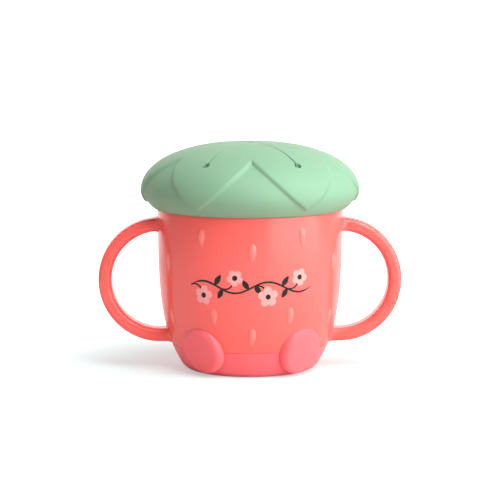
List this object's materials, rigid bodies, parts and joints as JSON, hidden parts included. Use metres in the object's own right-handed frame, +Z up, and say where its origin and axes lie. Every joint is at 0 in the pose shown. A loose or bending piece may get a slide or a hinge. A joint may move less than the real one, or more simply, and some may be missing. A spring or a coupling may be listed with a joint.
{
  "type": "toddler snack container",
  "caption": "Two-handled toddler snack cup with a soft domed leaf-relief lid of push-through flaps, raised seeds, a grippy base band and round foot pads.",
  "frame": {"origin": "centre of the base, on the surface that the cup stands on", "axes": "+Z up, the front with the foot pads faces -Y, the handles lie along X"},
  "size_m": [0.1332, 0.0934, 0.1],
  "materials": {
    "coral_plastic": "glossy, slightly translucent moulded plastic",
    "blush_grip": "satin soft-touch plastic",
    "mint_silicone": "matte silicone"
  },
  "bodies": {
    "cup": {"cup_body": "coral_plastic", "handle_left": "coral_plastic", "handle_right": "coral_plastic", "base_band": "blush_grip", "foot_pad_left": "blush_grip", "foot_pad_right": "blush_grip"},
    "lid": {"lid_shell": "mint_silicone"},
    "flap_front": {"flap_front": "mint_silicone"},
    "flap_front_right": {"flap_front_right": "mint_silicone"},
    "flap_back_right": {"flap_back_right": "mint_silicone"},
    "flap_back": {"flap_back": "mint_silicone"},
    "flap_back_left": {"flap_back_left": "mint_silicone"},
    "flap_front_left": {"flap_front_left": "mint_silicone"}
  },
  "joints": [
    {"name": "lid_lift", "type": "slide", "parent": "cup", "child": "lid", "axis": [0, 0, 1], "range_m": [0, 0.05]},
    {"name": "flap_front_bend", "type": "hinge", "parent": "lid", "child": "flap_front", "pos_m": [0, -0.03343, 0.09168], "axis": [-1, 0, 0], "range_deg": [-30, 65], "stiffness_Nm_per_rad": 0.02, "springref_deg": -0.69},
    {"name": "flap_front_right_bend", "type": "hinge", "parent": "lid", "child": "flap_front_right", "pos_m": [0.02895, -0.01671, 0.09168], "axis": [-0.5, -0.866, 0], "range_deg": [-30, 65], "stiffness_Nm_per_rad": 0.02, "springref_deg": -0.69},
    {"name": "flap_back_right_bend", "type": "hinge", "parent": "lid", "child": "flap_back_right", "pos_m": [0.02895, 0.01671, 0.09168], "axis": [0.5, -0.866, 0], "range_deg": [-30, 65], "stiffness_Nm_per_rad": 0.02, "springref_deg": -0.69},
    {"name": "flap_back_bend", "type": "hinge", "parent": "lid", "child": "flap_back", "pos_m": [0, 0.03343, 0.09168], "axis": [1, 0, 0], "range_deg": [-30, 65], "stiffness_Nm_per_rad": 0.02, "springref_deg": -0.69},
    {"name": "flap_back_left_bend", "type": "hinge", "parent": "lid", "child": "flap_back_left", "pos_m": [-0.02895, 0.01671, 0.09168], "axis": [0.5, 0.866, 0], "range_deg": [-30, 65], "stiffness_Nm_per_rad": 0.02, "springref_deg": -0.69},
    {"name": "flap_front_left_bend", "type": "hinge", "parent": "lid", "child": "flap_front_left", "pos_m": [-0.02895, -0.01671, 0.09168], "axis": [-0.5, 0.866, 0], "range_deg": [-30, 65], "stiffness_Nm_per_rad": 0.02, "springref_deg": -0.69}
  ]
}
